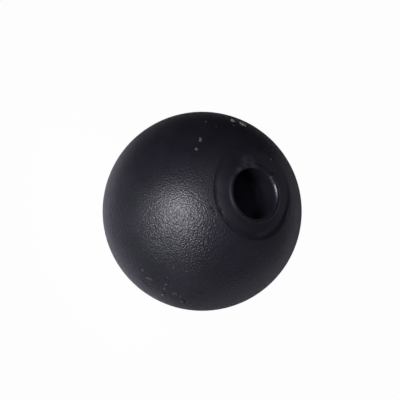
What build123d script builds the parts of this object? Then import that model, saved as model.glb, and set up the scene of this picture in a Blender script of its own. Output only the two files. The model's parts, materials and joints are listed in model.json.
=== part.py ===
from build123d import *
from math import sqrt
import os

# Ball knob, one solid plastic moulding with a plain blind bore.
# Millimetres. +Z runs up the bore and out of its mouth.
# The origin is the lowest point of the ball, on the bore's axis.

# Ball, and the height to the top of the lip
ball_d = 40.0
overall_h = 38.92

# Bore, which goes onto the end of a round rod
bore_d = 10.0
bore_depth = 20.0
bore_end_bevel = 0.8

# Lip round the bore's mouth
mouth_bevel = 0.25
lip_land = 0.4
lip_slope_run = 0.42
lip_height = 0.27
lip_bevel = 0.08

# Smooth crown round the lip, and the step up from it to the ball's surface
crown_width = 2.33
crown_bulge_r = 10.6
crown_recess = 0.4
step_run = 0.6
step_bevel = 0.1

ball_r = ball_d / 2
bore_r = bore_d / 2
lip_outer_r = bore_r + mouth_bevel + lip_land
lip_foot_r = lip_outer_r + lip_slope_run
step_foot_r = lip_foot_r + crown_width
step_edge_r = step_foot_r + step_run


def height_on_sphere(sphere_r, r):
    """Height of a sphere about the ball's centre, at radius r from the bore's axis."""
    return ball_r + sqrt(sphere_r**2 - r**2)


# Corners of the half section, as radius and height
step_edge = (step_edge_r, height_on_sphere(ball_r, step_edge_r))
step_foot = (step_foot_r, height_on_sphere(ball_r - crown_recess, step_foot_r))
lip_foot = (lip_foot_r, overall_h - lip_height)
lip_edge = (lip_outer_r, overall_h)
mouth = (bore_r, overall_h)
bore_end_z = overall_h - bore_depth
bore_end = (bore_r, bore_end_z)

bevels = {
    step_edge: step_bevel,
    step_foot: step_bevel,
    lip_edge: lip_bevel,
    mouth: mouth_bevel,
    bore_end: bore_end_bevel,
}

with BuildPart() as knob:
    with BuildSketch(Plane.XZ) as section:
        with BuildLine():
            ThreePointArc((0, 0), (ball_r, ball_r), step_edge)
            Line(step_edge, step_foot)
            RadiusArc(step_foot, lip_foot, -crown_bulge_r)
            Polyline(lip_foot, lip_edge, mouth, bore_end, (0, bore_end_z), (0, 0))
        make_face()
        for corner, length in bevels.items():
            chamfer(section.vertices().sort_by_distance(corner)[0], length=length)
    revolve(axis=Axis.Z)

knob.part.label = "ball_knob"

os.makedirs("parts", exist_ok=True)
export_step(knob.part, "parts/ball_knob.step")
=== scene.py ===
import json
from math import acos, asin, cos, pi, radians, sin, sqrt, tan

import bmesh
import bpy
import numpy as np
from mathutils import Matrix, Vector
from mathutils.bvhtree import BVHTree


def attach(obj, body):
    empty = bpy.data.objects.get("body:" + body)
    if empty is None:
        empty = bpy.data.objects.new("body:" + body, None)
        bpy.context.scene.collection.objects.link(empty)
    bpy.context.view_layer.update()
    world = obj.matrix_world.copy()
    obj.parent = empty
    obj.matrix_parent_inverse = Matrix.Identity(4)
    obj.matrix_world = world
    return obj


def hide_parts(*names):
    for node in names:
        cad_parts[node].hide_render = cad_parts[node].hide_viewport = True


# Looks of the ball knob. Metres, from the lowest point of the ball, with +Z up the bore.
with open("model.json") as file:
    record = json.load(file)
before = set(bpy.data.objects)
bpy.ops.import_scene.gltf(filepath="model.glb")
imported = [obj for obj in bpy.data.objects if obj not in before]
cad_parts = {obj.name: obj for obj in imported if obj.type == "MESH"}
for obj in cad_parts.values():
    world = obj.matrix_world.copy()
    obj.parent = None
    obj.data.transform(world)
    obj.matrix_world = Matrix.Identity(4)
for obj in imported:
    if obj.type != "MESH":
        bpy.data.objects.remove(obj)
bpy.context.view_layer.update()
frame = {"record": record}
NODE = "ball_knob"
MM = 0.001

# Sizes that the record states
mounts = {mount["name"]: mount for mount in frame["record"]["mounts"]}
BORE_R = mounts["bore"]["dims"]["r_mm"] * MM
BORE_WALL = mounts["bore"]["dims"]["length_mm"] * MM
LIP_Z = mounts["lip_face"]["pos_m"][2]

# Ball, lip at the mouth, crown round the lip, and the step from the crown up to the ball
BALL_R = 20.0 * MM
MOUTH_ROUND = 0.25 * MM
LIP_LAND = 0.4 * MM
LIP_SLOPE_RUN = 0.42 * MM
LIP_HEIGHT = 0.27 * MM
CROWN_R = 10.6 * MM
CROWN_RECESS = 0.4 * MM
CROWN_WIDTH = 2.33 * MM
CROWN_LEAN = asin(0.262)  # at the lip's foot
STEP_RUN = 0.6 * MM
BORE_END_BEVEL = 0.8 * MM

# Distances from the bore's axis
LIP_OUTER_R = BORE_R + MOUTH_ROUND + LIP_LAND
LIP_FOOT_R = LIP_OUTER_R + LIP_SLOPE_RUN
STEP_FOOT_R = LIP_FOOT_R + CROWN_WIDTH
STEP_EDGE_R = STEP_FOOT_R + STEP_RUN

# Rounding of the corners
STEP_ROUND = 0.2 * MM
LIP_FOOT_ROUND = 0.3 * MM
LIP_ROUND = 0.2 * MM

# The mesh: segments round the axis, and how far apart the rings are in each part
SEGMENTS = 440
BALL_STEP = 0.75 * MM
NEAR_STEP = 0.16 * MM
FINE_STEP = 0.07 * MM
WALL_STEP = 0.8 * MM

# The ball's rings: the first one's angle, how wide the close ones lie, and room before the step
FIRST_ANGLE = 0.02
NEAR_ZONE = 2.4 * MM
STEP_MARGIN = 0.28 * MM

# Points of the crown's arc, with those left out for the rounding at its ends
CROWN_POINTS = 30
CROWN_TRIM = 3

# Where the face's rings meet the bore's, inside the mouth, and the radius of the bore's last ring
MOUTH_END = (BORE_R, LIP_Z - 1.2 * MOUTH_ROUND)
BORE_LAST_R = 0.3 * MM

# The photograph, in its own pixels: where the ball lies, and how the bore is turned from the view
PHOTO_WIDTH = 400
BALL_AT = (202.14, 211.24)
BALL_R_PX = 99.6
BORE_FROM_VIEW = radians(35.27)
BORE_ABOVE_LEVEL = radians(18.80)
CAMERA_DISTANCE = 20 * BALL_R
CAMERA_CLIP = (0.01, 20.0)
SENSOR_MM = 36.0

# Wear of the step. A bearing is 0 towards the photograph's right and grows clockwise there.
# A plateau is a bearing, the span to each side of it, and how steeply it rises at its ends.
CLOSED = (radians(-60), radians(105), 1.7)
CLOSED_FROM = 6.4 * MM
MENDED_BEARING = radians(129)
MENDED_SPAN = radians(38)
MENDED_SHARE = 0.85
MENDED_FROM = 7.5 * MM
FLUSH_END = 9.09 * MM
SUNK = (radians(73), radians(58), 1.5)
SUNK_DEPTH = 0.3 * MM
SUNK_RADII = (7.75 * MM, 8.82 * MM, 9.12 * MM)
NARROW = (radians(180), radians(80), 2.0)
NARROW_RADII = (8.2 * MM, 8.86 * MM, 9.0 * MM)
NARROW_FALL = 0.26 * MM
NARROW_MEAN = 0.95
NARROW_CHANGE = 0.3
NARROW_SWAY = 0.09 * MM
NARROW_SWINGS = 70

# The burr on the lip runs between two places, each a bearing and a distance from the axis
BURR_CREST = ((radians(-24), 6.6 * MM), (radians(-19), 5.1 * MM))
BURR_WIDTH = 1.15 * MM
BURR_RISE = 0.24 * MM
BURR_FLANK = 0.06 * MM
BURR_OVERRUN = 0.1 * MM
BURR_TAPER = 0.55
BURR_REACH = 0.5 * MM

# Marks in the lip's finish: bearing, distance from the axis, and how far the mark spreads
TORN = (radians(-13), 5.1 * MM, 1.0 * MM)
SCUFFS = (
    (radians(-82), 5.8 * MM, 2.6 * MM),
    (radians(-112), 5.3 * MM, 1.5 * MM),
)

# Painted shade in the sunk side of the step: distances from the axis, and reach along the sunk bearing
SUNK_SHADE_RADII = (8.15 * MM, 8.5 * MM)
SUNK_SHADE_REACH = (5.4 * MM, 7.6 * MM)

# Dust, by where the photograph shows it: across, down, length, width (pixels), turn (degrees)
BRIGHT_DUST = {
    "rim": (232.7, 120.4, 5.6, 4.7, 0),
    "rim_long": (243.0, 124.2, 7.4, 5.0, -35),
}
PALE_DUST = {
    "upper": (200.6, 139.4, 3.4, 4.6, 0),
    "upper_small": (196.5, 148.9, 3.5, 3.5, 0),
    "low_left": (142.6, 270.4, 2.2, 3.0, 0),
    "low_a": (164.6, 288.7, 2.4, 3.2, 0),
    "low_b": (162.9, 295.1, 3.4, 3.4, 0),
    "mouth": (234.4, 191.5, 2.4, 1.8, 0),
}
FAINT_DUST = {
    "rim_below": (234.0, 125.5, 3.0, 1.2, 0),
    "rim_left": (206.0, 121.4, 1.6, 3.0, 0),
    "upper_left": (216.1, 126.1, 1.1, 2.4, 0),
    "face": (271.4, 159.2, 2.2, 2.2, 0),
    "low_streak": (148.8, 278.8, 7.4, 4.2, 25),
    "low_d": (140.4, 279.2, 1.8, 3.2, 0),
    "low_e": (166.1, 284.7, 3.8, 2.4, 0),
    "low_line": (174.6, 293.8, 7.0, 2.6, 0),
    "low_f": (180.8, 296.6, 3.2, 2.6, 0),
    "low_g": (182.6, 302.2, 5.0, 5.0, 0),
    "low_h": (168.2, 264.8, 2.4, 1.9, 0),
    "low_i": (174.0, 267.0, 2.4, 3.0, 0),
    "low_k": (167.4, 277.8, 1.1, 3.0, 0),
}
DUST_SPREAD = (0.78, 1.22)
LEAST_SHOWN = 0.65

# Small pits in the grain, darkened by dirt and painted shade of their hollows: across, down and width
# (pixels)
PITS = {
    "by_ring": (211.5, 208.3, 4.0),
    "by_ring_upper": (207.4, 199.8, 1.8),
    "low": (163.3, 290.8, 2.2),
    "low_upper": (146.6, 283.2, 2.4),
    "low_left": (140.8, 276.6, 1.8),
    "low_right": (161.8, 283.6, 2.4),
    "by_ring_low": (214.0, 211.2, 3.0),
}

# Small pale spots on the crown's edge, scratches and painted highlight: across, down and width
# (pixels)
NICKS_AND_HIGHLIGHTS = {
    "by_groove": (223.0, 212.2, 2.6),
    "by_groove_middle": (218.8, 203.0, 2.4),
    "by_groove_upper": (220.2, 190.5, 1.8),
}

# The view, as directions and a scale at the ball's centre
centre = Vector((0, 0, BALL_R))
elevation = pi / 2 - BORE_FROM_VIEW
to_camera = Vector((0, -cos(elevation), sin(elevation)))
bore_in_view = (Vector((0, 0, 1)) - sin(elevation) * to_camera).normalized()
across_bore = to_camera.cross(bore_in_view)
camera_right = cos(BORE_ABOVE_LEVEL) * bore_in_view - sin(BORE_ABOVE_LEVEL) * across_bore
camera_up = sin(BORE_ABOVE_LEVEL) * bore_in_view + cos(BORE_ABOVE_LEVEL) * across_bore
focal_px = BALL_R_PX * sqrt((CAMERA_DISTANCE / BALL_R) ** 2 - 1)
metres_per_px = CAMERA_DISTANCE / focal_px
camera_place = centre + CAMERA_DISTANCE * to_camera


def in_view(right, up, towards):
    """A vector given along the camera's right, up and backward directions."""
    return right * camera_right + up * camera_up + towards * to_camera


def beside_centre(px, py):
    """What shows at a pixel, on the plane through the ball's centre that faces the camera."""
    right, down = px - BALL_AT[0], py - BALL_AT[1]
    return centre + metres_per_px * (right * camera_right - down * camera_up)


def facing(place, up, back):
    """A matrix that stands an object at a place, with its back and top turned these ways."""
    up = (up - up.dot(back) * back).normalized()
    return Matrix.Translation(place) @ Matrix((up.cross(back), up, back)).transposed().to_4x4()


def link(name, data):
    """A new object in the scene."""
    thing = bpy.data.objects.new(name, data)
    bpy.context.scene.collection.objects.link(thing)
    return thing


def make_camera():
    """The camera of the photograph, with the ball where it lies there."""
    data = bpy.data.cameras.new("camera")
    data.sensor_width = SENSOR_MM
    data.lens = focal_px / PHOTO_WIDTH * SENSOR_MM
    data.clip_start, data.clip_end = CAMERA_CLIP
    camera = link("camera", data)
    target = beside_centre(PHOTO_WIDTH / 2, PHOTO_WIDTH / 2)
    camera.matrix_world = facing(camera_place, camera_up, (camera_place - target).normalized())
    bpy.context.scene.camera = camera


# Places on the knob
def seen_at(surface, px, py):
    """The place on the surface that shows at a pixel of the photograph, and its normal."""
    way = (beside_centre(px, py) - camera_place).normalized()
    spot, normal, _, _ = surface.ray_cast(camera_place, way)
    return spot, normal


def marks_seen(surface, marks):
    """Places and widths on the surface of marks given across, down and wide in pixels."""
    return [(seen_at(surface, x, y)[0], width * metres_per_px) for x, y, width in marks.values()]


def on_lip(bearing, r):
    """A place on the lip's top."""
    return r * sin(bearing), r * cos(bearing), LIP_Z


# Half section
def height_on_sphere(sphere_r, r):
    """Height of a sphere about the ball's centre, at a distance from the bore's axis."""
    return BALL_R + sqrt(sphere_r**2 - r**2)


def arc(start, end, radius, count):
    """Points along an arc from start to end that bulges to the right of that way."""
    way = (end - start) / np.linalg.norm(end - start)
    half = asin(np.linalg.norm(end - start) / 2 / radius)
    left = np.array((-way[1], way[0]))
    middle = (start + end) / 2 + left * radius * cos(half)
    return [
        middle + radius * (way * sin(a) - left * cos(a))
        for a in np.linspace(-half, half, count)
    ]


def rounded_corner(before, corner, after, rounding, step):
    """Points along the rounding of one corner, or the corner itself if it has none."""
    back = before - corner
    ahead = after - corner
    back /= np.linalg.norm(back)
    ahead /= np.linalg.norm(ahead)
    half = acos(np.clip(back @ ahead, -1, 1)) / 2
    nearly_straight = half > pi / 2 - 1e-3
    if rounding == 0 or nearly_straight:
        return [corner]
    inward = back + ahead
    middle = corner + inward / np.linalg.norm(inward) * rounding / sin(half)
    turn = pi - 2 * half
    x, y = corner + back * rounding / tan(half) - middle
    side = np.sign(x * ahead[1] - y * ahead[0])
    count = max(2, int(turn * rounding / step) + 2)
    return [
        middle + np.array((x * cos(a) - y * sin(a), x * sin(a) + y * cos(a)))
        for a in np.linspace(0, side * turn, count)
    ]


def rounded(corners, step):
    """Points along a polyline of (radius, height, rounding) corners, at most step apart."""
    places = [np.array(corner[:2]) for corner in corners]
    points = [places[0]]
    runs = [
        rounded_corner(places[i - 1], places[i], places[i + 1], corners[i][2], step)
        for i in range(1, len(corners) - 1)
    ]
    for run in runs + [[places[-1]]]:
        gap = run[0] - points[-1]
        count = int(np.linalg.norm(gap) / step)
        for i in range(1, count + 1):
            points.append(points[-1] + gap / (count + 1))
        points.extend(run)
    return points


def ball_section():
    """Rings of the ball from its lowest point up, closer together near the step."""
    last_angle = pi - asin((STEP_EDGE_R + STEP_MARGIN) / BALL_R)
    near_angle = last_angle - NEAR_ZONE / BALL_R
    below_count = int(near_angle * BALL_R / BALL_STEP)
    below = np.linspace(FIRST_ANGLE, near_angle, below_count, endpoint=False)
    near = np.linspace(near_angle, last_angle, int(NEAR_ZONE / NEAR_STEP))
    return [(BALL_R * sin(a), BALL_R - BALL_R * cos(a)) for a in (*below, *near)]


def face_section(ball_end):
    """Rings from the ball's end over the step, crown and lip, and just into the mouth."""
    step_foot = np.array((STEP_FOOT_R, height_on_sphere(BALL_R - CROWN_RECESS, STEP_FOOT_R)))
    lip_foot = np.array((LIP_FOOT_R, LIP_Z - LIP_HEIGHT))
    crown = arc(step_foot, lip_foot, CROWN_R, CROWN_POINTS)[CROWN_TRIM:-CROWN_TRIM]
    corners = [
        (*ball_end, 0),
        (STEP_EDGE_R, height_on_sphere(BALL_R, STEP_EDGE_R), STEP_ROUND),
        (*step_foot, STEP_ROUND),
        *[(*point, 0) for point in crown],
        (*lip_foot, LIP_FOOT_ROUND),
        (LIP_OUTER_R, LIP_Z, LIP_ROUND),
        (BORE_R, LIP_Z, MOUTH_ROUND),
        (*MOUTH_END, 0),
    ]
    return rounded(corners, FINE_STEP)[1:]


def bore_section():
    """Rings down the bore's wall, over the bevel and in across its end."""
    wall_end = LIP_Z - MOUTH_ROUND - BORE_WALL
    end = wall_end - BORE_END_BEVEL
    corners = [
        (*MOUTH_END, 0),
        (BORE_R, wall_end, 0),
        (BORE_R - BORE_END_BEVEL, end, 0),
        (BORE_LAST_R, end, 0),
    ]
    return rounded(corners, WALL_STEP)[1:]


# Wear of the face, as changes of its height
def hump(distance, reach):
    """1 at no distance, fading smoothly to 0 at the reach."""
    return (1 - np.clip(np.abs(distance) / reach, 0, 1) ** 2) ** 2


def turned(angle):
    """An angle brought to within half a turn of 0."""
    return (angle + pi) % (2 * pi) - pi


def plateau(bearing, middle, span, steepness):
    """1 on most of a span to each side of the middle bearing, fading smoothly to 0 at its ends."""
    return np.clip(steepness * hump(turned(bearing - middle), span), 0, 1)


def uneven(bearing, swings, seed):
    """Random swings from -1 to 1 round the ring, the same in each run."""
    draws = np.random.default_rng(seed).uniform(-1, 1, swings)
    ends = np.linspace(0, 2 * pi, swings + 1)
    return np.interp(bearing % (2 * pi), ends, np.append(draws, draws[0]))


def crown_at(r):
    """Height and slope of the crown at a distance from the bore's axis."""
    aside = r - (LIP_FOOT_R - CROWN_R * sin(CROWN_LEAN))
    rise = sqrt(CROWN_R**2 - aside**2)
    return LIP_Z - LIP_HEIGHT - CROWN_R * cos(CROWN_LEAN) + rise, -aside / rise


def fill(r, z, start):
    """Rise that fills the step to a smooth run, which leaves the crown at a start and ends on the
    ball."""
    z0, slope0 = crown_at(start)
    z1 = height_on_sphere(BALL_R, FLUSH_END)
    slope1 = -FLUSH_END / (z1 - BALL_R)
    run = FLUSH_END - start
    t = np.clip((r - start) / run, 0, 1)
    flush = (
        (2 * t**3 - 3 * t**2 + 1) * z0 + (3 * t**2 - 2 * t**3) * z1
        + run * ((t**3 - 2 * t**2 + t) * slope0 + (t**3 - t**2) * slope1)
    )
    return np.clip(flush - z, 0, None) * (r > start)


def narrow_groove(r, bearing, z):
    """Change to a crown that runs on nearly to the ball, with a narrow and uneven groove there."""
    start, _, end = NARROW_RADII
    crown_z, _ = crown_at(start)
    at = r + NARROW_SWAY * uneven(bearing, NARROW_SWINGS, seed=3)
    depth = NARROW_MEAN + NARROW_CHANGE * uneven(bearing, NARROW_SWINGS, seed=4)
    fall = NARROW_FALL * depth * np.interp(at, NARROW_RADII, (0, 1, 0))
    ground = np.interp(at, NARROW_RADII, (crown_z, crown_z, height_on_sphere(BALL_R, end)))
    return (ground - fall - z) * (r > start) * (r < end)


def step_wear(r, bearing, z):
    """Wear of the step: filled from the top to the right, mostly filled at the lower left, a narrow
    groove at the left, and sunk at the lower right."""
    closed = plateau(bearing, *CLOSED)
    mended = MENDED_SHARE * hump(turned(bearing - MENDED_BEARING), MENDED_SPAN)
    narrowed = plateau(bearing, *NARROW) * ((1 - closed) * (1 - mended))
    sunk = plateau(bearing, *SUNK) * (1 - mended)
    return (
        closed * fill(r, z, CLOSED_FROM)
        + mended * fill(r, z, MENDED_FROM)
        + narrowed * narrow_groove(r, bearing, z)
        - SUNK_DEPTH * sunk * np.interp(r, SUNK_RADII, (0, 1, 0))
    )


def burr(r, bearing, z):
    """Rise of the burr: a ridge on the lip, steep on one side and sloping on the other."""
    x, y = r * np.cos(bearing), r * np.sin(bearing)
    ends = [np.array((end_r * cos(angle), end_r * sin(angle))) for angle, end_r in BURR_CREST]
    length = np.linalg.norm(ends[1] - ends[0])
    way = (ends[1] - ends[0]) / length
    steep_side = np.array((-way[1], way[0])) * np.sign(-way[1])
    ahead = (x - ends[0][0]) * way[0] + (y - ends[0][1]) * way[1]
    aside = -((x - ends[0][0]) * steep_side[0] + (y - ends[0][1]) * steep_side[1])
    from_end = np.minimum(ahead + BURR_OVERRUN, length + BURR_OVERRUN - ahead)
    taper = np.clip(from_end / (BURR_TAPER * length), 0, 1)
    width = BURR_WIDTH * taper + 1e-9  # never 0, to divide by
    slope = np.clip(1 - aside / width, 0, 1) * (aside > -BURR_FLANK) * (taper > 0)
    flank = np.clip(1 + np.minimum(aside, 0) / BURR_FLANK, 0, 1)
    return BURR_RISE * np.minimum(2 * taper, 1) * slope**2 * flank * (z > LIP_Z - BURR_REACH)


# The knob's mesh
def lathe_points(rings, worn):
    """The rings turned about the bore's axis, with wear on those in the worn slice."""
    turn = np.linspace(0, 2 * pi, SEGMENTS, endpoint=False)
    r = rings[:, :1] * np.ones_like(turn)
    z = rings[:, 1:] * np.ones_like(turn)
    bearing = (pi / 2 - turn) * np.ones_like(r[worn])
    z[worn] += step_wear(r[worn], bearing, z[worn]) + burr(r[worn], bearing, z[worn])
    points = np.stack([r * np.cos(turn), r * np.sin(turn), z], axis=-1).reshape(-1, 3)
    return [tuple(point) for point in points]


def lathe_faces(ring_count):
    """Quads between the rings, then for each segment one triangle at each end's middle point."""
    lowest = ring_count * SEGMENTS
    bore_end = lowest + 1
    last_ring = (ring_count - 1) * SEGMENTS
    beside = [(j, (j + 1) % SEGMENTS) for j in range(SEGMENTS)]
    faces = []
    for a in range(0, last_ring, SEGMENTS):
        b = a + SEGMENTS
        faces += [(a + j, a + k, b + k, b + j) for j, k in beside]
    for j, k in beside:
        faces += [(lowest, k, j), (bore_end, last_ring + j, last_ring + k)]
    return faces


def material_index(rings, first_wall):
    """Each face's material: 0 on the ball, 1 on the crown, 2 on the lip and 3 in the bore."""
    radius, height = rings.T
    first_crown = int(np.argmax((radius < STEP_EDGE_R) & (height > BALL_R)))
    first_lip = int(np.argmax((radius < LIP_FINISH_R) & (height > BALL_R)))
    index = np.zeros((len(rings) + 1) * SEGMENTS, np.int32)
    for material, ring in enumerate((first_crown, first_lip, first_wall), start=1):
        index[ring * SEGMENTS:] = material
    lowest_triangles = slice((len(rings) - 1) * SEGMENTS, None, 2)
    index[lowest_triangles] = 0
    return index


def make_knob():
    """The knob, finished, and its surface for placing things by the photograph."""
    ball = ball_section()
    face = face_section(ball[-1])
    bore = bore_section()
    rings = np.array([tuple(point) for point in (*ball, *face, *bore)])
    verts = lathe_points(rings, slice(len(ball), len(ball) + len(face)))
    verts += [(0, 0, 0), (0, 0, float(rings[-1, 1]))]
    faces = lathe_faces(len(rings))
    mesh = bpy.data.meshes.new(NODE + "_form")
    mesh.from_pydata(verts, [], faces)
    mesh.update()
    mesh.shade_smooth()
    surface = BVHTree.FromPolygons(verts, faces)

    pits, nicks_and_highlights = marks_seen(surface, PITS), marks_seen(surface, NICKS_AND_HIGHLIGHTS)
    mesh.materials.append(grained_plastic(pits))
    mesh.materials.append(smooth_plastic("smooth_plastic", CROWN_ROUGHNESS, nicks_and_highlights))
    mesh.materials.append(smooth_plastic("lip_plastic", LIP_ROUGHNESS))
    mesh.materials.append(bore_plastic())
    index = material_index(rings, first_wall=len(ball) + len(face) - 1)
    mesh.polygons.foreach_set("material_index", index)
    return link("moulded_ball", mesh), surface


def make_dust(name, specks, surface, colour, height, seed):
    """Closed flattened crumbs of dust, half sunk in the surface, in one piece. The height is a
    share of each crumb's width."""
    draw = np.random.default_rng(seed)
    form = bmesh.new()
    for x, y, length, width, turn in specks.values():
        spot, normal = seen_at(surface, x, y)
        side = camera_right - camera_right.dot(normal) * normal
        side = (Matrix.Rotation(radians(turn), 3, normal) @ side).normalized()
        other = normal.cross(side)
        axes = Matrix((side, other, normal)).transposed()
        shown = [
            max(LEAST_SHOWN, (axis - axis.dot(to_camera) * to_camera).length)
            for axis in (side, other)
        ]
        size = Vector((length / shown[0], width / shown[1], height * width))
        size *= metres_per_px / 2
        crumb = bmesh.ops.create_icosphere(form, subdivisions=2, radius=1)
        for vert in crumb["verts"]:
            vert.co *= draw.uniform(*DUST_SPREAD)
            vert.co = spot + axes @ Vector(a * b for a, b in zip(vert.co, size))
    mesh = bpy.data.meshes.new(name + "_form")
    form.to_mesh(mesh)
    form.free()
    mesh.shade_smooth()
    mesh.materials.append(dust(name, colour))
    return link(name, mesh)


# Materials. A ramp is where a smooth change starts and ends, and the values there.
DARK_PLASTIC = (0.008, 0.0077, 0.012)
LIGHT_PLASTIC = (0.0114, 0.0108, 0.0168)
PLASTIC_IOR = 1.5
PATCH_SCALE = 180
PATCH_RAMP = (0.35, 0.65, 0.0, 1.0)
ROUGH_SCALE = 400
ROUGH_CHANGE = 0.06

# Moulded grain of the ball. It is shallower towards the photograph's upper right.
GRAIN_ROUGHNESS = 0.37
GRAIN_CELLS = 2800
GRAIN_BLUR = 0.35
GRAIN_FINE = 4200
GRAIN_ROUGH_RAMP = (0.2, 0.8, -0.03, 0.03)
GRAIN_FADES = in_view(0.5, 0.86, 0)
GRAIN_FADE_RAMP = (
    GRAIN_FADES.dot(centre) - 12 * MM, GRAIN_FADES.dot(centre) + 4 * MM, 0.1 * MM, 0.042 * MM
)
PIT_DIRT_AND_SHADE_COLOUR = (0.003, 0.003, 0.003)
PIT_DEPTH = 0.8
PIT_REACH = 0.8
PIT_DIRT_AND_SHADE_REACH = (0.25, 0.6)
PIT_ROUGHER = 0.6

# Smooth plastic of the crown and lip, with fine turned lines
CROWN_ROUGHNESS = 0.38
LIP_ROUGHNESS = 0.32
LIP_FINISH_R = LIP_FOOT_R + 0.1 * MM
LINES_SCALE = 2500
LINES_DEPTH = 0.035 * MM
LINES_ROUGHER = 0.08
LINES_PATCH_SCALE = 250
LINES_PATCH_RAMP = (0.4, 0.6, 0.0, 1.0)
# Colour of the painted shade at the foot of the sunk step
SUNK_SHADE_COLOUR = (0.006, 0.0055, 0.009)
# Pale colour of the scuffs, and of the painted highlight on the crown's edge
SCUFF_AND_HIGHLIGHT_COLOUR = (0.036, 0.034, 0.04)
SCUFF_FROM = 0.3
FLECK_SCALE = 900
FLECK_RAMP = (0.35, 0.6, 0.35, 1.0)
NICK_HIGHLIGHT_PALE = (0.15, 0.6)
TORN_FROM = 0.5
TORN_ROUGHER = 0.35

# The bore, a little paler deep down: painted light on its deep wall
BORE_ROUGHNESS = 0.4
DEEP_PAINTED_LIGHT_COLOUR = (0.08, 0.075, 0.1)
DEEP_PAINTED_LIGHT_RAMP = (LIP_Z - 10 * MM, LIP_Z - 5 * MM, 1.0, 0.0)

# Dust
BRIGHT_DUST_COLOUR = (0.2, 0.196, 0.205)
PALE_DUST_COLOUR = (0.09, 0.088, 0.096)
FAINT_DUST_COLOUR = (0.045, 0.043, 0.05)
DUST_SCALE = 3000
DUST_DARKER = 0.6
DUST_ROUGHNESS = 0.8
DUST_ROUGHER = 0.1


class Finish:
    """A material and its nodes. A value is an output of a node, or a plain number or vector."""

    def __init__(self, name):
        self.material = bpy.data.materials.new(name)
        self.material.use_nodes = True
        self.tree = self.material.node_tree
        self.shader = self.tree.nodes["Principled BSDF"]
        self.place = self.node("TexCoord").outputs["Object"]

    def node(self, kind, **settings):
        """A new node, with its settings."""
        node = self.tree.nodes.new("ShaderNode" + kind)
        for name, setting in settings.items():
            setattr(node, name, setting)
        return node

    def put(self, value, socket):
        """Links an output to a socket, or sets a plain value on it."""
        if isinstance(value, bpy.types.NodeSocket):
            self.tree.links.new(value, socket)
        else:
            socket.default_value = value

    def math(self, operation, *values):
        """The result of one math node."""
        node = self.node("Math", operation=operation)
        for value, socket in zip(values, node.inputs):
            self.put(value, socket)
        return node.outputs[0]

    def vector_math(self, operation, *values, output="Value"):
        """The result of one vector math node, a number unless its vector is asked for."""
        node = self.node("VectorMath", operation=operation)
        for value, socket in zip(values, node.inputs):
            self.put(value, socket)
        return node.outputs[output]

    def ramp(self, value, start, end, low, high):
        """A smooth change from low to high while a value goes from start to end."""
        node = self.node("MapRange", interpolation_type="SMOOTHSTEP")
        self.put(value, node.inputs["Value"])
        self.put(start, node.inputs["From Min"])
        self.put(end, node.inputs["From Max"])
        self.put(low, node.inputs["To Min"])
        self.put(high, node.inputs["To Max"])
        return node.outputs["Result"]

    def noise(self, scale, detail=2.0):
        """Soft noise of about 0 to 1 over the surface."""
        node = self.node("TexNoise")
        self.put(self.place, node.inputs["Vector"])
        self.put(scale, node.inputs["Scale"])
        self.put(detail, node.inputs["Detail"])
        return node.outputs["Fac"]

    def mix(self, share, low, high):
        """A colour between two, where low and high are colours or outputs."""
        node = self.node("Mix", data_type="RGBA")
        self.put(share, node.inputs["Factor"])
        for socket, colour in ((node.inputs[6], low), (node.inputs[7], high)):
            self.put((*colour, 1) if isinstance(colour, tuple) else colour, socket)
        return node.outputs[2]

    def near(self, spot, start, end, low, high):
        """A value by the distance from a spot."""
        return self.ramp(self.vector_math("DISTANCE", self.place, spot), start, end, low, high)

    def along(self, direction):
        """The place measured along one direction."""
        return self.vector_math("DOT_PRODUCT", self.place, direction)

    def bump(self, height, depth):
        """Relief of this height, as deep in metres, on the shader."""
        node = self.node("Bump")
        self.put(depth, node.inputs["Distance"])
        self.put(height, node.inputs["Height"])
        self.put(node.outputs["Normal"], self.shader.inputs["Normal"])

    def done(self, colour, rough):
        """The material, once its colour and roughness are on the shader."""
        self.put(colour, self.shader.inputs["Base Color"])
        self.put(rough, self.shader.inputs["Roughness"])
        return self.material


def plastic(name, roughness):
    """A finish in the knob's plastic, with its colour and roughness before any wear."""
    finish = Finish(name)
    finish.shader.inputs["IOR"].default_value = PLASTIC_IOR
    patches = finish.ramp(finish.noise(PATCH_SCALE), *PATCH_RAMP)
    colour = finish.mix(patches, DARK_PLASTIC, LIGHT_PLASTIC)
    least = roughness - ROUGH_CHANGE / 2
    rough = finish.math("MULTIPLY_ADD", finish.noise(ROUGH_SCALE), ROUGH_CHANGE, least)
    return finish, colour, rough


def grained_plastic(pits):
    """The ball's plastic: moulded cells with a finer grain in them, and small pits with dirt and
    painted shade.
    """
    finish, colour, rough = plastic("grained_plastic", GRAIN_ROUGHNESS)
    cells = finish.node("TexVoronoi", feature="SMOOTH_F1")
    cells.inputs["Scale"].default_value = GRAIN_CELLS
    cells.inputs["Smoothness"].default_value = GRAIN_BLUR
    finish.put(finish.place, cells.inputs["Vector"])
    fine = finish.noise(GRAIN_FINE, detail=1.0)
    height = finish.math("ADD", fine, cells.outputs["Distance"])
    rough = finish.math("ADD", rough, finish.ramp(fine, *GRAIN_ROUGH_RAMP))
    for spot, width in pits:
        pit = finish.near(spot, 0, width * PIT_REACH, -PIT_DEPTH, 0.0)
        height = finish.math("ADD", height, pit)
        # Dirt and painted shade: each pit's hollow is darker in its middle
        pit_dirt_and_shade = finish.near(spot, *[width * share for share in PIT_DIRT_AND_SHADE_REACH], 1.0, 0.0)
        colour = finish.mix(pit_dirt_and_shade, colour, PIT_DIRT_AND_SHADE_COLOUR)
        rough = finish.math("MULTIPLY_ADD", pit_dirt_and_shade, PIT_ROUGHER, rough)
    finish.bump(height, finish.ramp(finish.along(GRAIN_FADES), *GRAIN_FADE_RAMP))
    return finish.done(colour, rough)


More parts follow.
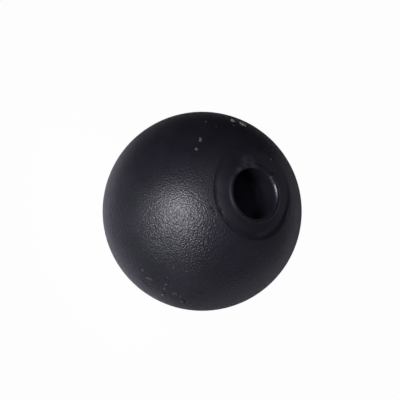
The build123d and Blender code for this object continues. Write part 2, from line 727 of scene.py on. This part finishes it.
def smooth_plastic(name, roughness, nicks_and_highlights=()):
    """Crown and lip plastic: turned lines, painted shade by the sunk step, scuffs, pale spots with
    painted highlight.
    """
    finish, colour, rough = plastic(name, roughness)
    flat = finish.vector_math("MULTIPLY", finish.place, (1, 1, 0), output="Vector")
    radius = finish.vector_math("LENGTH", flat)
    lines = finish.node("TexNoise", noise_dimensions="1D")
    lines.inputs["Scale"].default_value = LINES_SCALE
    finish.put(radius, lines.inputs["W"])
    patches = finish.ramp(finish.noise(LINES_PATCH_SCALE), *LINES_PATCH_RAMP)
    shown = finish.math("MULTIPLY", lines.outputs["Fac"], patches)
    rough = finish.math("MULTIPLY_ADD", shown, LINES_ROUGHER, rough)
    finish.bump(shown, LINES_DEPTH)

    sunk_bearing = SUNK[0]
    sunk_side = finish.along((sin(sunk_bearing), cos(sunk_bearing), 0))
    # Painted shade: darker at the crown's outer edge on the sunk side, where the step's recess is
    sunk_shade = finish.math(
        "MULTIPLY",
        finish.ramp(radius, *SUNK_SHADE_RADII, 0.0, 1.0),
        finish.ramp(sunk_side, *SUNK_SHADE_REACH, 0.0, 1.0),
    )
    colour = finish.mix(sunk_shade, colour, SUNK_SHADE_COLOUR)
    flecks = finish.ramp(finish.noise(FLECK_SCALE), *FLECK_RAMP)
    for bearing, r, spread in SCUFFS:
        scuff = finish.near(on_lip(bearing, r), SCUFF_FROM * spread, spread, 1.0, 0.0)
        colour = finish.mix(finish.math("MULTIPLY", scuff, flecks), colour, SCUFF_AND_HIGHLIGHT_COLOUR)
    # Pale spots on the crown's outer edge: partly scratches, partly painted highlight
    for spot, width in nicks_and_highlights:
        pale = finish.near(spot, *[width * share for share in NICK_HIGHLIGHT_PALE], 1.0, 0.0)
        colour = finish.mix(pale, colour, SCUFF_AND_HIGHLIGHT_COLOUR)
    bearing, r, spread = TORN
    torn = finish.near(on_lip(bearing, r), TORN_FROM * spread, spread, TORN_ROUGHER, 0.0)
    return finish.done(colour, finish.math("ADD", rough, torn))


def bore_plastic():
    """The bore's plastic, which grows paler deep down, as painted light on the deep wall."""
    finish, colour, rough = plastic("bore_plastic", BORE_ROUGHNESS)
    split = finish.node("SeparateXYZ")
    finish.put(finish.place, split.inputs[0])
    # Painted light: the wall grows paler deep down the bore
    deep = finish.ramp(split.outputs["Z"], *DEEP_PAINTED_LIGHT_RAMP)
    return finish.done(finish.mix(deep, colour, DEEP_PAINTED_LIGHT_COLOUR), rough)


def dust(name, colour):
    """Rough dust of about one colour."""
    finish = Finish(name)
    flecks = finish.ramp(finish.noise(DUST_SCALE), *PATCH_RAMP)
    darker = tuple(DUST_DARKER * part for part in colour)
    rough = finish.math("MULTIPLY_ADD", flecks, DUST_ROUGHER, DUST_ROUGHNESS)
    return finish.done(finish.mix(flecks, darker, colour), rough)


# Floor, background and lamps
COOL = (0.88, 0.87, 1.0)
KEY_TINT = (0.98, 0.98, 1.04)
FILL_TINT = (0.87, 0.84, 1.04)
WHITE = (1, 1, 1)
BLACK = (0, 0, 0)
AIR_LEVEL = 0.03

# The floor's tone, painted light and shade: brightest in a patch under the knob's near side, dimmer to
# the picture's top
FLOOR_HALF = 1.6
FLOOR_COLOUR = (0.93, 0.92, 1.0)
FLOOR_ROUGHNESS = 0.8
FLOOR_WHITE_SHARE = 0.98
PATCH_AT = (-1.2 * MM, -11.2 * MM, 0)
PATCH_SQUEEZE = (0.62, 1, 1)
PATCH_TONE = 0.95
PATCH_REACH = (6 * MM, 22 * MM)
REAR_RAMP = (-30 * MM, 20 * MM, 0.26, 0.38)
FRONT_RAMP = (-65 * MM, -40 * MM, 0.15, 0.0)
DIM_WAY = (-1, 0.1, 0)
DIM_RAMP = (20 * MM, 55 * MM, 1.0, 0.12)
# Side where the floor glows white in glossy rays, as a painted reflection on the knob
MIRRORED_WAY = (0.9, 0.44, 0)
MIRRORED_RAMP = (30 * MM, 90 * MM, 0.0, 0.23)


def floor_material():
    """White to the camera. What it throws on the knob is its tone, a painted pool of light and painted
    shade,
    and a painted reflection: white glow in glossy rays on the side that MIRRORED_WAY names."""
    finish = Finish("pale_floor")
    finish.shader.inputs["Roughness"].default_value = FLOOR_ROUGHNESS
    squeezed = finish.vector_math("MULTIPLY", finish.place, PATCH_SQUEEZE, output="Vector")
    from_patch = finish.vector_math("DISTANCE", squeezed, PATCH_AT)
    patch = finish.ramp(from_patch, *PATCH_REACH, 1.0, 0.0)
    depth = finish.along((0, 1, 0))
    round_patch = finish.math("ADD", finish.ramp(depth, *REAR_RAMP), finish.ramp(depth, *FRONT_RAMP))
    # Painted pool of light: the tone is brightest in the patch
    more = finish.math("SUBTRACT", PATCH_TONE, round_patch)
    painted_pool = finish.math("MULTIPLY_ADD", patch, more, round_patch)
    # Painted shade: the tone dims along DIM_WAY
    tone = finish.math("MULTIPLY", painted_pool, finish.ramp(finish.along(DIM_WAY), *DIM_RAMP))
    finish.put(finish.mix(tone, BLACK, FLOOR_COLOUR), finish.shader.inputs["Base Color"])

    ray = finish.node("LightPath").outputs
    white = finish.node("Emission")
    finish.put(finish.mix(ray["Is Camera Ray"], COOL, WHITE), white.inputs["Color"])
    # Painted reflection: white glow in glossy rays on the side that MIRRORED_WAY names
    side = finish.ramp(finish.along(MIRRORED_WAY), *MIRRORED_RAMP)
    painted_glow = finish.math("MULTIPLY", ray["Is Glossy Ray"], side)
    share = finish.math("MULTIPLY_ADD", ray["Is Camera Ray"], FLOOR_WHITE_SHARE, painted_glow)
    both = finish.node("MixShader")
    finish.put(share, both.inputs["Fac"])
    finish.put(finish.shader.outputs["BSDF"], both.inputs[1])
    finish.put(white.outputs[0], both.inputs[2])
    finish.put(both.outputs[0], finish.tree.nodes["Material Output"].inputs["Surface"])
    return finish.material


def make_floor():
    """A wide floor under the knob, which is part of the stage."""
    corners = [(-1, -1), (1, -1), (1, 1), (-1, 1)]
    mesh = bpy.data.meshes.new("floor")
    mesh.from_pydata([(FLOOR_HALF * x, FLOOR_HALF * y, 0) for x, y in corners], [], [(0, 1, 2, 3)])
    mesh.materials.append(floor_material())
    link("floor", mesh)


def make_world():
    """A faint cool air for the knob, and white for the camera."""
    world = bpy.data.worlds.new("studio")
    world.use_nodes = True
    bpy.context.scene.world = world
    nodes, links = world.node_tree.nodes, world.node_tree.links
    air = nodes["Background"]
    air.inputs["Color"].default_value = (*COOL, 1)
    air.inputs["Strength"].default_value = AIR_LEVEL
    white = nodes.new("ShaderNodeBackground")
    white.inputs["Color"].default_value = (*WHITE, 1)
    ray = nodes.new("ShaderNodeLightPath")
    mix = nodes.new("ShaderNodeMixShader")
    links.new(ray.outputs["Is Camera Ray"], mix.inputs["Fac"])
    links.new(air.outputs[0], mix.inputs[1])
    links.new(white.outputs[0], mix.inputs[2])
    links.new(mix.outputs[0], nodes["World Output"].inputs["Surface"])


def lamp(name, direction, distance, size, power, colour=COOL, tall=1.0):
    """A soft round lamp that the camera doesn't see, turned to the ball's centre."""
    data = bpy.data.lights.new(name, "AREA")
    data.shape = "ELLIPSE"
    data.size = size
    data.size_y = tall * size
    data.energy = power
    data.color = colour
    light = link(name, data)
    back = direction.normalized()
    light.matrix_world = facing(centre + distance * back, camera_up, back)
    light.visible_camera = False


make_camera()
make_floor()
make_world()
lamp("key", in_view(-0.43, -0.03, 0.9), distance=0.35, size=0.1, power=0.97, colour=KEY_TINT, tall=1.8)
lamp("key_left", in_view(-0.55, -0.03, 0.85), distance=0.35, size=0.28, power=0.48, colour=KEY_TINT)
lamp("fill_low", in_view(-0.5, -0.6, 0.6), distance=0.5, size=0.3, power=0.21)
lamp("fill_right", in_view(0.9, 0.3, -0.2), distance=0.8, size=0.6, power=0.18, colour=FILL_TINT)
lamp("fill_right_low", in_view(0.9, -0.2, -0.2), distance=0.8, size=0.6, power=0.12, colour=FILL_TINT)
lamp("fill_front", in_view(0.55, -0.45, 0.7), distance=0.8, size=0.5, power=0.12)
lamp("fill_edge", in_view(0.72, -0.68, 0.05), distance=0.8, size=0.5, power=0.15, colour=FILL_TINT)
lamp("fill_bore", in_view(0.1, 0.1, 1.0), distance=0.8, size=0.3, power=0.38)
lamp("fill_top", in_view(0.1, 0.6, 0.8), distance=0.8, size=0.5, power=0.25)

knob, surface = make_knob()
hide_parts(NODE)
bright_dust = make_dust("bright_dust", BRIGHT_DUST, surface, BRIGHT_DUST_COLOUR, height=0.6, seed=13)
pale_dust = make_dust("pale_dust", PALE_DUST, surface, PALE_DUST_COLOUR, height=0.35, seed=11)
faint_dust = make_dust("faint_dust", FAINT_DUST, surface, FAINT_DUST_COLOUR, height=0.35, seed=12)
for piece in (knob, bright_dust, pale_dust, faint_dust):
    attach(piece, "root")

bpy.context.scene.view_settings.view_transform = "Standard"
